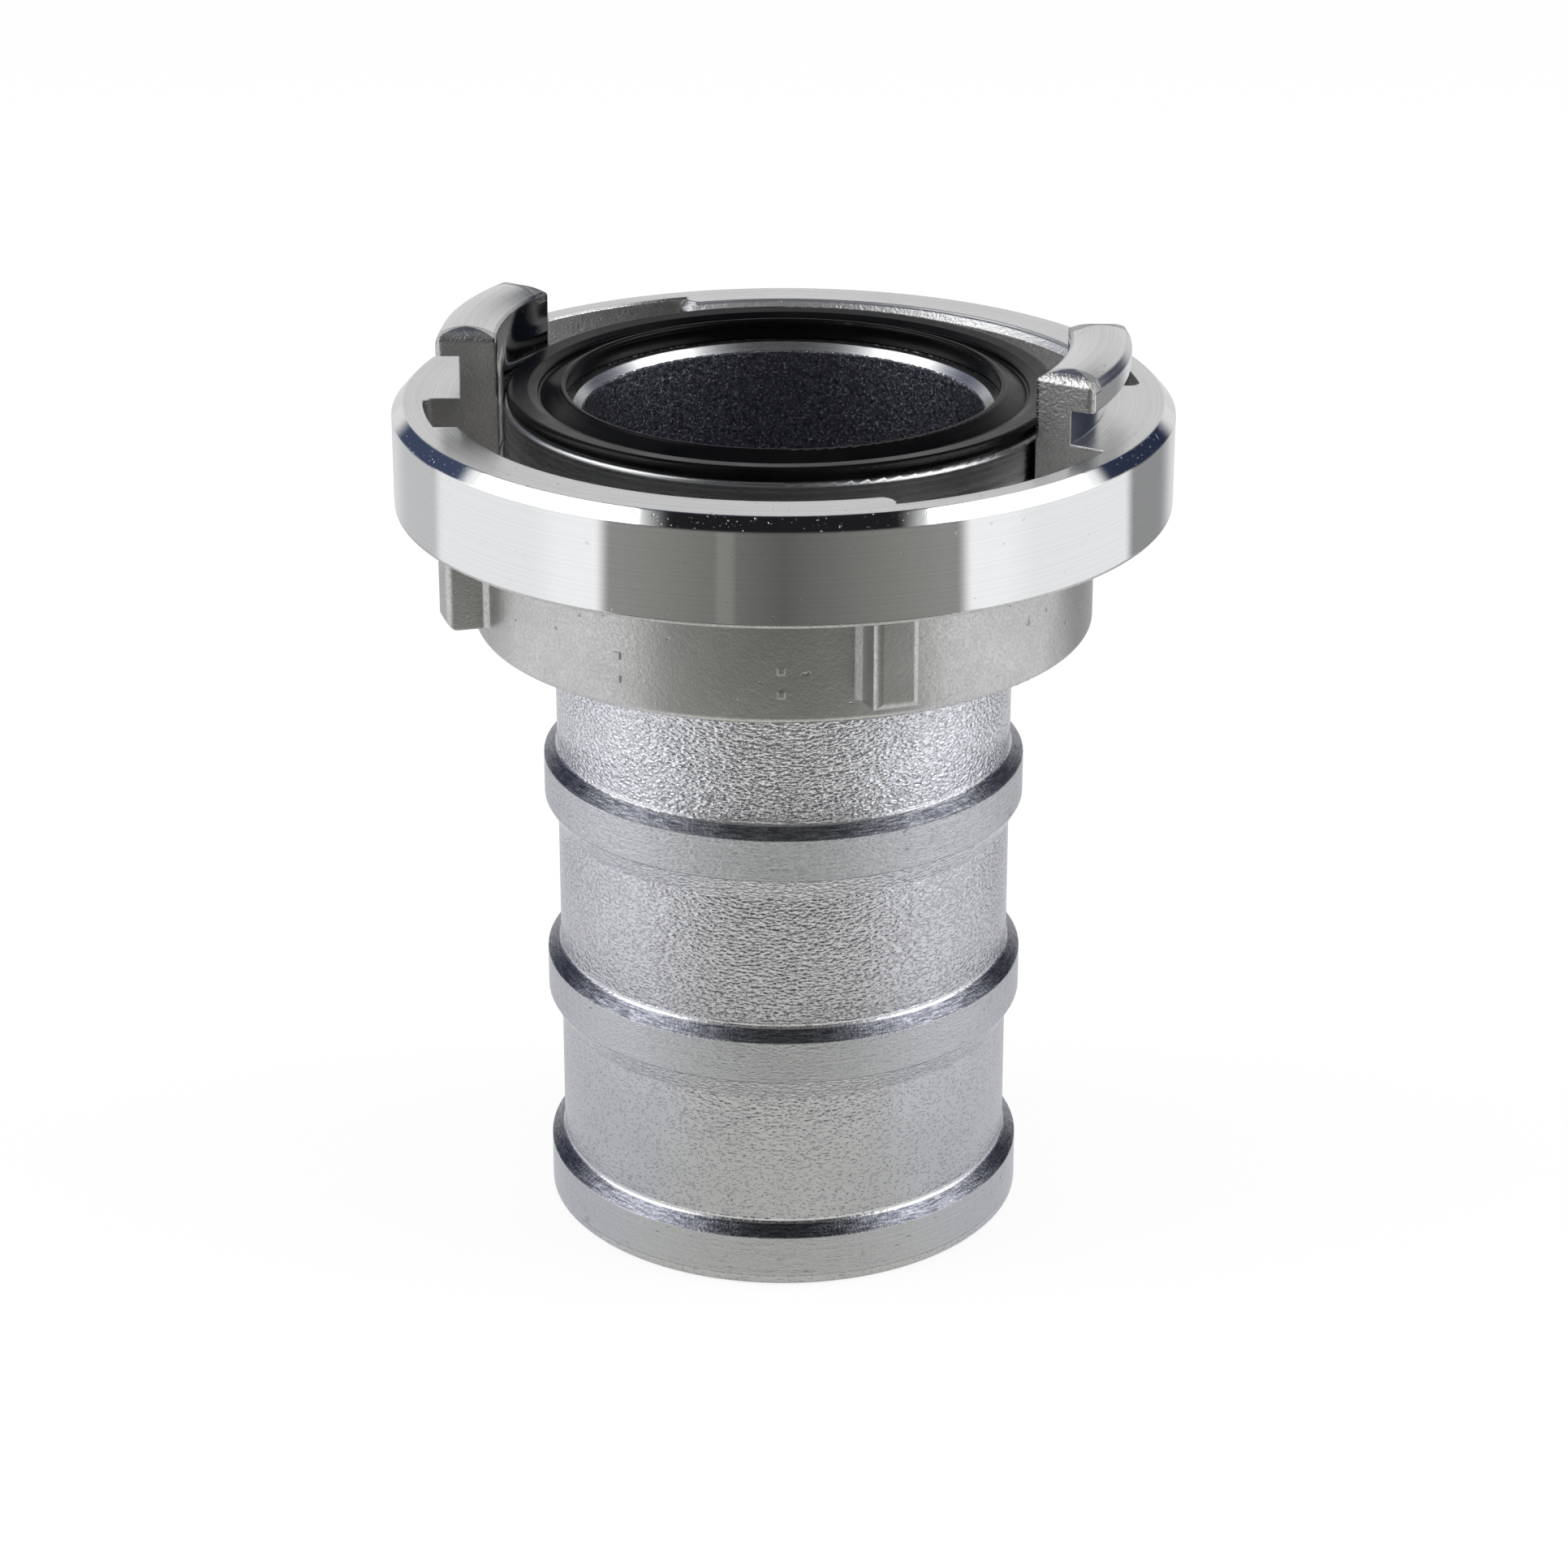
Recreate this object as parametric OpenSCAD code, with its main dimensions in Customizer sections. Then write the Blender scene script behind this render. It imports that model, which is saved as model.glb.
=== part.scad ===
// Two-lug bayonet suction-hose coupling, nominal 75 mm, standing on the end of its hose tail.
// The lug ring swivels on the tail, whose flange carries the face seal.
// Radii grow outwards from the waterway, each from the one before it.
// Heights in the modules are measured from the coupling face: up is positive.

/* [Waterway and hose tail] */
// Diameter of the waterway through the tail
bore_d = 64.8; // [60:0.1:80]
// Wall of the tail between the barbs
tail_wall = 5.25; // [4:0.05:8]
// Height of the coupling face above the end of the tail
face_h = 141; // [117:0.5:175]
// Number of hose barbs, the lowest one at the end of the tail
barbs = 3; // [1:1:3]
// Distance from one barb edge to the next
barb_pitch = 35.45; // [22:0.05:36]
// Height of the lowest barb's edge above the end of the tail
barb_edge_h = 8.6; // [7:0.1:12]
// How far a barb stands out from the tail
barb_rise = 2.2; // [1:0.1:4]
// Length of a barb's cylindrical land
barb_land = 6.9; // [3:0.1:6.9]
// Length of the taper below a barb's land
barb_taper = 4; // [2:0.1:8]
// Height of the steep shoulder above a barb's edge
barb_shoulder = 1.5; // [0.8:0.1:3]

/* [Swivel] */
// Play for the barbs when the tail is passed through the ring
pass_gap = 0.6; // [0.5:0.05:1]
// Running clearance between the tail's journal and the ring's collar
run_gap = 0.08; // [0.05:0.01:0.1]
// Width of the ring's shoulder that carries the tail's flange
shoulder_w = 4.6; // [4:0.1:6]
// Depth of that shoulder below the coupling face
shoulder_depth = 10; // [9:0.1:12]
// Length of the collar that runs on the journal
collar_len = 14; // [8:0.5:15]
// Wire thickness of the retaining ring
wire_d = 2.6; // [2:0.1:3]
// Axial play between the retaining ring and the collar
wire_gap = 0.3; // [0.2:0.1:1]
// Gap between the ends of the retaining ring
wire_split = 9; // [4:0.5:20]

/* [Tail flange and seal] */
// How far the flange's rim lies below the coupling face
flange_drop = 0.3; // [0.2:0.1:2]
// Width of the bare metal rim outside the seal
flange_rim = 0.55; // [0.5:0.05:2]
// Width of the flange outside the seal's groove
groove_wall = 2.65; // [2.3:0.05:4]
// Radial width of the seal's groove
groove_w = 6.8; // [6.5:0.1:7.5]
// Depth of the seal's groove below the flange's rim
groove_depth = 5.6; // [4:0.1:6.5]
// How far the waterway's mouth lies below the coupling face
mouth_drop = 1.6; // [1:0.1:3]
// Bevel at the waterway's mouth
mouth_bevel = 1.4; // [0.5:0.1:1.8]
// Clearance round the seal in its groove
seal_gap = 0.15; // [0.05:0.05:0.3]
// Height of the seal's inner lip above the coupling face
lip_top = 2; // [1.5:0.1:3]
// Height of the seal's outer bead above the coupling face
bead_top = 1.75; // [1.2:0.05:2.5]

/* [Hook lugs] */
// Gap between the flange and the inner faces of the lugs
lug_gap = 0.95; // [0.8:0.05:3]
// Thickness of the lugs' webs
web_t = 6; // [4:0.1:9]
// How far the hooks reach out over the slots
hook_reach = 3.7; // [2:0.1:5]
// Height of the lugs' inner edges above the coupling face
lug_h = 9.7; // [9:0.1:14]
// Height of the crown across the lugs' tops
lug_crown = 1.5; // [0.5:0.1:2]
// Height of the slot under a hook at its trailing end
slot_trail = 5.4; // [3:0.1:6]
// Height of the slot under a hook at its leading end
slot_lead = 7.1; // [5:0.1:7.5]
// Angle from the ring's centre line back to a lug's trailing end
lug_back = 31.6; // [20:0.1:35]
// Distance from the ring's centre line forward to a lug's leading end
lug_front = 3.5; // [0:0.1:6]
// Radius of the cast roundings across the lugs' ends
lug_end_r = 3.9; // [1:0.1:5]
// Length of those roundings along the lugs' tops
lug_end_w = 3.3; // [1:0.1:4]
// Rounding of the hooks' upright end corners
hook_corner_r = 1.1; // [0.5:0.1:2]

/* [Rim, ledges and channel] */
// Room between the hooks of a mating coupling and the channel's wall
channel_gap = 2.3; // [1:0.1:4]
// Depth of the channel's floor below the coupling face
channel_depth = 14; // [12.5:0.1:14.5]
// Wall of the rim outside the channel
rim_wall = 5; // [3:0.1:10]
// Height of the rim
rim_h = 17.2; // [16.5:0.1:22]
// Width of the bevel round the coupling face
bevel_w = 1.85; // [0.5:0.05:2.5]
// Height of that bevel
bevel_h = 2; // [0.5:0.1:3]
// Radial play between a ledge and the web of a mating lug
ledge_gap = 1; // [0.5:0.1:2]
// Bevel along the upper inner edge of a ledge
ledge_bevel = 1.4; // [0.5:0.1:1.8]
// Distance from the ring's centre line to the start of a ledge
ledge_start = 18.5; // [10:0.5:24]
// Angle of a ledge's entry tip from the ring's centre line
ledge_tip_a = 75.4; // [64:0.1:80]
// Rounding of a ledge's entry tip
ledge_tip_r = 3.8; // [2:0.1:4]
// How far the entry tip stands in from the rest of the ledge
ledge_nose = 0.2; // [0.1:0.1:0.7]
// Thickness of a ledge at its entry tip
ledge_thin = 3.9; // [3:0.1:5]
// Thickness of a ledge at its other end
ledge_thick = 8.1; // [6:0.1:9]

/* [Skirt and wrench bosses] */
// Wall of the skirt below the collar
skirt_wall = 4.6; // [3:0.1:8]
// How far the skirt's outside stands out from the lugs' inner faces
skirt_step = 4.6; // [3.5:0.1:6]
// Depth of the skirt's lower edge below the coupling face
skirt_depth = 37.4; // [31:0.1:45]
// Width of a wrench boss across its outer face
boss_w = 7.2; // [4:0.1:12]
// Widening of a boss towards the skirt, on each side
boss_draft = 0.3; // [0.1:0.1:2]
// How far a boss stands out from the skirt
boss_rise = 6.4; // [3:0.1:7]
// Depth of the bosses' lower ends below the coupling face
boss_depth = 33.6; // [26:0.1:37]
// Rounding of the bosses' lower ends
boss_foot_r = 1.5; // [1:0.1:5]
// Rounding of the bosses' upright edges
boss_edge_r = 1.8; // [0.5:0.1:2]
// Bevel in the corners between a boss and the skirt
boss_root = 0.9; // [0.3:0.1:1.5]
// Angle of the first boss of each opposite pair
boss_a1 = 17; // [0:0.5:45]
// Angle of the second boss of each opposite pair
boss_a2 = 107.8; // [90:0.1:135]

/* [Hidden] */
$fn = 128;

// A little more than nothing, and a size beyond the whole part
eps = 0.01;
far = 120;

// Radii of the tail, from the waterway outwards
bore_r = bore_d / 2;
tail_r = bore_r + tail_wall;
barb_r = tail_r + barb_rise;
collar_r = barb_r + pass_gap;
journal_r = collar_r - run_gap;
flange_r = collar_r + shoulder_w;
groove_out_r = flange_r - groove_wall;
groove_in_r = groove_out_r - groove_w;
mouth_r = bore_r + mouth_bevel;

// Radii of the ring, from the flange outwards
lug_in_r = flange_r + lug_gap;
web_r = lug_in_r + web_t;
hook_r = web_r + hook_reach;
ledge_r = web_r + ledge_gap;
channel_r = hook_r + channel_gap;
rim_r = channel_r + rim_wall;
skirt_r = lug_in_r + skirt_step;
skirt_in_r = skirt_r - skirt_wall;
boss_r = skirt_r + boss_rise;

// Heights of the collar, the journal and the retaining ring
collar_end = -shoulder_depth - collar_len;
wire_h = collar_end - wire_gap - wire_d / 2;
groove_room = 0.1;
journal_end = wire_h - wire_d / 2 - 2;
wire_r = journal_r - 0.2;

// The mid-line of a lug and the slope of its hook's underside
lug_lead_a = asin(lug_front / hook_r);
lug_mid_a = (lug_lead_a - lug_back) / 2;
lug_half_a = (lug_lead_a + lug_back) / 2;
slot_mid = (slot_trail + slot_lead) / 2;
slot_tilt = atan((slot_lead - slot_trail) / 2 / (hook_r * sin(lug_half_a)));

// The crown's arc across a lug's top
crown_half = (hook_r - lug_in_r) / 2;
crown_r = (crown_half * crown_half + lug_crown * lug_crown) / (2 * lug_crown);
hook_bevel_w = 0.8;
hook_bevel_h = 0.9;

// The mid-line of a ledge and the slope of its underside
ledge_start_a = asin(ledge_start / ledge_r);
ledge_mid_a = (180 + ledge_start_a + 360 - ledge_tip_a) / 2;
ledge_half_a = (180 - ledge_tip_a - ledge_start_a) / 2;
ledge_mid = (ledge_thin + ledge_thick) / 2;
ledge_tilt = atan((ledge_thick - ledge_thin) / 2 / (ledge_r * sin(ledge_half_a)));

// Small cast and turned edges
flange_edge_r = 0.7;
rim_edge_r = 0.7;
skirt_edge_r = 1;
root_r = 1.6;
floor_bevel = 1.5;
recess_r = 1.7;
edge_set = 0.12;

// The square marks on the skirt
mark_w = 1.1;
mark_rise = 0.18;
mark_pitch = 3.85;
mark_drop = skirt_depth - 8.8;
mark_a = [59.7, 89.6];

// Puts what is drawn from the coupling face at its height above the tail's end.
module at_face() translate([0, 0, face_h]) children();

// Both of a pair that lies opposite about the axis.
module both_sides() for (turn = [0, 180]) rotate([0, 0, turn]) children();

// What rounding takes off a square corner. The corner is at the origin, the solid lies to -x and -y.
module corner_loss(r) {
    difference() {
        translate([-r, -r]) square(r + 1);
        translate([-r, -r]) circle(r);
    }
}

// Half-disc plan of all points beyond the line at y = -front and before the line at angle -back.
module plan_between(front, back) {
    far_x = far * cos(back);
    polygon([
        [-far, -front],
        [front / tan(back), -front],
        [far_x, -far * sin(back)],
        [far_x, -far],
        [-far, -far]
    ]);
}

// Everything under a plane that rises with y, at height mid over the axis.
module under_slope(mid, tilt) {
    translate([0, 0, mid]) rotate([tilt, 0, 0]) translate([0, -far, -far]) cube([far, 2 * far, far]);
}

module rim_and_skirt_profile() {
    difference() {
        translate([0, -rim_h]) square([rim_r, rim_h]);
        polygon([[rim_r - bevel_w, eps], [rim_r + eps, -bevel_h], [rim_r + 1, eps]]);
        translate([rim_r, -rim_h]) mirror([0, 1]) corner_loss(rim_edge_r);
    }
    difference() {
        translate([0, -skirt_depth]) square([skirt_r, skirt_depth - rim_h + 1]);
        translate([skirt_r, -skirt_depth]) mirror([0, 1]) corner_loss(skirt_edge_r);
    }
    difference() {
        translate([skirt_r - 1, -rim_h - root_r]) square([root_r + 1, root_r + 1]);
        translate([skirt_r + root_r, -rim_h - root_r]) circle(root_r);
    }
}

module wrench_boss() {
    half = boss_w / 2;
    foot = half + boss_draft;
    // the upright edge's rounding cuts the drafted flank at a clear angle
    edge_y = foot - boss_draft * (boss_rise - boss_edge_r) / (boss_rise + 1) + edge_set;
    // x + y along the bevel at the root, which starts on the skirt
    root_y = foot + boss_root;
    root_line = sqrt(skirt_r * skirt_r - root_y * root_y) + root_y;
    intersection() {
        rotate_extrude() {
            difference() {
                translate([lug_in_r, -boss_depth]) square([boss_r - lug_in_r, boss_depth - rim_h + 1]);
                translate([boss_r, -boss_depth]) mirror([0, 1]) corner_loss(boss_foot_r);
            }
        }
        translate([0, 0, -boss_depth - 1]) linear_extrude(boss_depth) difference() {
            union() {
                polygon([[lug_in_r, -foot], [skirt_r, -foot], [boss_r + 1, -half],
                         [boss_r + 1, half], [skirt_r, foot], [lug_in_r, foot]]);
                polygon([[lug_in_r, lug_in_r - root_line], [root_line - half, -half],
                         [root_line - half, half], [lug_in_r, root_line - lug_in_r]]);
            }
            for (side = [0, 1]) mirror([0, side]) translate([boss_r, edge_y]) corner_loss(boss_edge_r);
        }
    }
}

// Plan of one ledge, its entry tip rounded.
module ledge_plan() {
    intersection() {
        difference() {
            circle(channel_r + 1);
            circle(ledge_r);
        }
        plan_between(ledge_start, ledge_tip_a);
    }
    rotate(-ledge_tip_a) translate([ledge_r - ledge_nose + ledge_tip_r, 0]) circle(ledge_tip_r);
}

// What the bevel takes off round a ledge's entry tip.
module tip_bevel() {
    rotate([0, 0, -ledge_tip_a]) translate([ledge_r - ledge_nose + ledge_tip_r, 0, 0])
        rotate_extrude(angle = 180) polygon([
            [ledge_tip_r - ledge_bevel - 0.1, 0.1],
            [ledge_tip_r + 1, -ledge_bevel - 1],
            [ledge_tip_r + 1, 0.1]
        ]);
}

// One ledge as it hangs over the channel, its inner edge bevelled, its underside ramped.
module ledge() {
    difference() {
        translate([0, 0, -channel_depth]) linear_extrude(channel_depth + 2) ledge_plan();
        translate([0, 0, -ledge_bevel - 2])
            cylinder(r1 = ledge_r - 2, r2 = ledge_r + ledge_bevel + 2, h = ledge_bevel + 4);
        tip_bevel();
        rotate([0, 0, ledge_mid_a]) under_slope(-ledge_mid, ledge_tilt);
    }
}

// Plan of the channel's length, the corner by the lug's foot rounded.
module channel_plan() {
    difference() {
        plan_between(lug_front, lug_back);
        translate([-sqrt(pow(channel_r - recess_r, 2) - pow(lug_front + recess_r, 2)), -lug_front - recess_r])
            mirror([1, 0]) difference() {
                square(recess_r + 2);
                circle(recess_r);
            }
    }
}

// The channel for a mating lug, open above at the entry and at the recess by the lug's foot.
module channel() {
    difference() {
        intersection() {
            rotate_extrude() polygon([
                [lug_in_r, -channel_depth],
                [channel_r - floor_bevel, -channel_depth],
                [channel_r, -channel_depth + floor_bevel],
                [channel_r, 1],
                [lug_in_r - 1, 1],
                [lug_in_r - 1, -shoulder_depth],
                [lug_in_r, -shoulder_depth]
            ]);
            translate([0, 0, -far / 2]) linear_extrude(far) channel_plan();
        }
        ledge();
    }
}

// The turned section of a lug: a crowned top with a small bevel at its outer edge.
module lug_profile() {
    difference() {
        union() {
            translate([lug_in_r, -1]) square([hook_r - lug_in_r, lug_h + 1]);
            intersection() {
                translate([lug_in_r, lug_h - 1]) square([hook_r - lug_in_r, lug_crown + 2]);
                translate([lug_in_r + crown_half, lug_h + lug_crown - crown_r]) circle(crown_r);
            }
        }
        polygon([
            [hook_r - hook_bevel_w, lug_h + lug_crown],
            [hook_r - hook_bevel_w, lug_h + 0.4],
            [hook_r + eps, lug_h - hook_bevel_h],
            [hook_r + 1, lug_h + lug_crown]
        ]);
    }
}

// What the rounded cast edge takes off a lug's end that faces +y at y = 0.
module end_loss() {
    translate([0, -lug_end_w, lug_h + lug_crown + eps - lug_end_r]) difference() {
        cube([far, lug_end_w + 1, 2 * lug_end_r]);
        rotate([0, 90, 0]) translate([0, 0, -1]) cylinder(r = lug_end_r, h = far + 2);
    }
}

// What the rounded upright corner takes off a hook whose end faces +y at y = end_y.
module hook_corner_loss(end_y) {
    inner_y = end_y - hook_corner_r;
    inner_r = hook_r - hook_corner_r;
    translate([sqrt(inner_r * inner_r - inner_y * inner_y), inner_y, 0.5]) linear_extrude(far) difference() {
        square(hook_corner_r + 2);
        circle(hook_corner_r);
    }
}

module hook_lug() {
    difference() {
        intersection() {
            rotate_extrude() lug_profile();
            translate([0, 0, -1]) linear_extrude(far) polygon([
                [10, lug_front],
                [far, lug_front],
                [far, -far * tan(lug_back)],
                [10, -10 * tan(lug_back)]
            ]);
        }
        difference() {
            rotate([0, 0, lug_mid_a]) under_slope(slot_mid, slot_tilt);
            translate([0, 0, -far]) cylinder(r = web_r, h = 2 * far);
        }
        translate([0, lug_front, 0]) end_loss();
        rotate([0, 0, -lug_back]) mirror([0, 1, 0]) end_loss();
        hook_corner_loss(lug_front);
        rotate([0, 0, -lug_back]) mirror([0, 1, 0]) hook_corner_loss(0);
    }
}

// Two small square marks, one over the other, that the casting pattern leaves on the skirt.
module cast_marks() {
    for (drop = [mark_drop, mark_drop + mark_pitch])
        translate([skirt_r - 1, -mark_w / 2, -drop - mark_w / 2]) cube([1 + mark_rise, mark_w, mark_w]);
}

module lug_ring() {
    color([0.80, 0.81, 0.82]) at_face() {
        difference() {
            union() {
                rotate_extrude() rim_and_skirt_profile();
                for (a = [boss_a1, boss_a2]) rotate([0, 0, a]) both_sides() wrench_boss();
                for (a = mark_a) rotate([0, 0, a]) both_sides() cast_marks();
            }
            translate([0, 0, -skirt_depth - 1]) cylinder(r = collar_r, h = skirt_depth + 2);
            translate([0, 0, -shoulder_depth]) cylinder(r = lug_in_r, h = shoulder_depth + 1);
            translate([0, 0, -skirt_depth - 1]) cylinder(r = skirt_in_r, h = skirt_depth + 1 + collar_end);
            both_sides() channel();
        }
        both_sides() hook_lug();
    }
}

// One barb from its land down to the tail, with its edge at height edge_z above the tail's end.
// The lowest barb's land runs down to the end itself.
module barb_profile(edge_z) {
    land_end = edge_z > barb_edge_h ? edge_z - barb_land : 0;
    taper_end = edge_z > barb_edge_h ? land_end - barb_taper : 0;
    polygon([
        [bore_r + 1, taper_end],
        [tail_r, taper_end],
        [barb_r, land_end],
        [barb_r, edge_z],
        [tail_r + 0.5, edge_z + barb_shoulder],
        [tail_r, edge_z + barb_shoulder + 0.5],
        [bore_r + 1, edge_z + barb_shoulder + 0.5]
    ]);
}

module hose_tail() {
    rim_z = -flange_drop;
    color([0.70, 0.72, 0.75]) difference() {
        union() {
            // the tail and its barbs
            cylinder(r = tail_r, h = face_h - shoulder_depth);
            rotate_extrude() for (i = [0 : barbs - 1]) barb_profile(barb_edge_h + i * barb_pitch);
            at_face() {
                // the journal that runs in the ring's collar, its lower edge bevelled
                translate([0, 0, journal_end]) {
                    cylinder(r1 = journal_r - 1, r2 = journal_r, h = 1);
                    translate([0, 0, 1]) cylinder(r = journal_r, h = -shoulder_depth - journal_end);
                }
                // the flange
                rotate_extrude() difference() {
                    translate([bore_r - 1, -shoulder_depth]) square([flange_r - bore_r + 1, shoulder_depth + rim_z]);
                    translate([flange_r, rim_z]) corner_loss(flange_edge_r);
                    translate([0, -mouth_drop]) square([groove_in_r + 1, mouth_drop + 1]);
                    translate([groove_in_r, rim_z - groove_depth]) square([groove_w, groove_depth + 2]);
                }
            }
        }
        // the waterway and its bevelled mouth
        translate([0, 0, -1]) cylinder(r = bore_r, h = face_h + 2);
        at_face() translate([0, 0, -mouth_drop - mouth_bevel])
            cylinder(r1 = bore_r, r2 = mouth_r + 1, h = mouth_bevel + 1);
        // the groove for the retaining ring
        at_face() translate([0, 0, wire_h - wire_d / 2 - groove_room]) difference() {
            cylinder(r = journal_r + 1, h = wire_d + 2 * groove_room);
            translate([0, 0, -1]) cylinder(r = wire_r - wire_d / 2 - groove_room, h = wire_d + 3);
        }
        // the broken edge at the end of the tail
        translate([0, 0, -eps]) rotate_extrude() polygon([
            [barb_r - 0.5, 0],
            [barb_r + 1, 0],
            [barb_r + 1, 0.5],
            [barb_r, 0.5]
        ]);
    }
}

module face_seal() {
    out_r = flange_r - flange_rim;
    base_z = -flange_drop - groove_depth;
    in_r = groove_in_r + seal_gap;
    bead_r = 1;
    lip_r = 0.6;
    lip_at = groove_in_r - 0.1;
    ridge_r = groove_in_r + 3.95;
    color([0.07, 0.07, 0.08]) at_face() rotate_extrude() {
        // the body that sits in the groove, with a domed bead outside a step and a slope up to the lip
        polygon([
            [in_r, base_z],
            [groove_out_r - seal_gap, base_z],
            [groove_out_r - seal_gap, -flange_drop],
            [out_r - 0.15, -flange_drop],
            [out_r, 0.1],
            [out_r, bead_top - bead_r],
            [out_r - bead_r, bead_top - eps],
            [ridge_r + 1.6, bead_top - 0.25],
            [ridge_r + 0.3, bead_top - 0.65],
            [ridge_r, bead_top - 0.85],
            [ridge_r - 0.1, 0.3],
            [ridge_r - 0.4, 0.2],
            [lip_at + 1.4, lip_top - 0.75],
            [lip_at + 0.4 * lip_r, lip_top - 0.1],
            [lip_at, lip_top - lip_r],
            [lip_at - lip_r + 0.05, lip_top - lip_r],
            [lip_at - 0.1, -mouth_drop + 0.3],
            [in_r, -mouth_drop + 0.3]
        ]);
        translate([out_r - bead_r, bead_top - bead_r]) circle(bead_r);
        translate([lip_at, lip_top - lip_r]) circle(lip_r);
    }
}

module retaining_ring() {
    half_split = asin(wire_split / 2 / wire_r);
    color([0.62, 0.63, 0.65]) at_face() translate([0, 0, wire_h])
        rotate([0, 0, 90 + half_split]) rotate_extrude(angle = 360 - 2 * half_split)
            translate([wire_r, 0]) circle(wire_d / 2);
}

lug_ring();
hose_tail();
face_seal();
retaining_ring();
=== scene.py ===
import math

import bpy
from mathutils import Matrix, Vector

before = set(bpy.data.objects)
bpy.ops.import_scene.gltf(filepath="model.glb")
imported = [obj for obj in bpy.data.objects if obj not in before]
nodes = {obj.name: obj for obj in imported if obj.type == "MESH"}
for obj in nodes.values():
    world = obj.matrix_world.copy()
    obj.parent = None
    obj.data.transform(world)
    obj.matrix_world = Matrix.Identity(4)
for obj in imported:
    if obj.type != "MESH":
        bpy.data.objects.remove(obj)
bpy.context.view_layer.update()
scene = bpy.context.scene

# Sizes are in metres, and heights count from the tail's end
MM = 0.001
FACE_Z = 141 * MM

# Camera
ELEVATION = math.radians(21.02)
DISTANCE = 655.74 * MM
AIM_Z = FACE_Z - 44.4 * MM
SENSOR_WIDTH = 36
LENS = 91.2
SHIFT_X, SHIFT_Y = 0.0003, -0.0859
CLIP_START, CLIP_END = 0.01, 50


def make_camera():
    back = Vector((0, -math.cos(ELEVATION), math.sin(ELEVATION)))
    camera = bpy.data.objects.new("camera", bpy.data.cameras.new("camera"))
    scene.collection.objects.link(camera)
    camera.data.sensor_width = SENSOR_WIDTH
    camera.data.lens = LENS
    camera.data.shift_x = SHIFT_X
    camera.data.shift_y = SHIFT_Y
    camera.data.clip_start = CLIP_START
    camera.data.clip_end = CLIP_END
    camera.location = Vector((0, 0, AIM_Z)) + back * DISTANCE
    camera.rotation_mode = "QUATERNION"
    camera.rotation_quaternion = (-back).to_track_quat("-Z", "Y")
    scene.camera = camera
    scene.view_settings.view_transform = "Standard"


# Node helpers
NOISE_LOW, NOISE_HIGH = 0.3, 0.7


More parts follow.
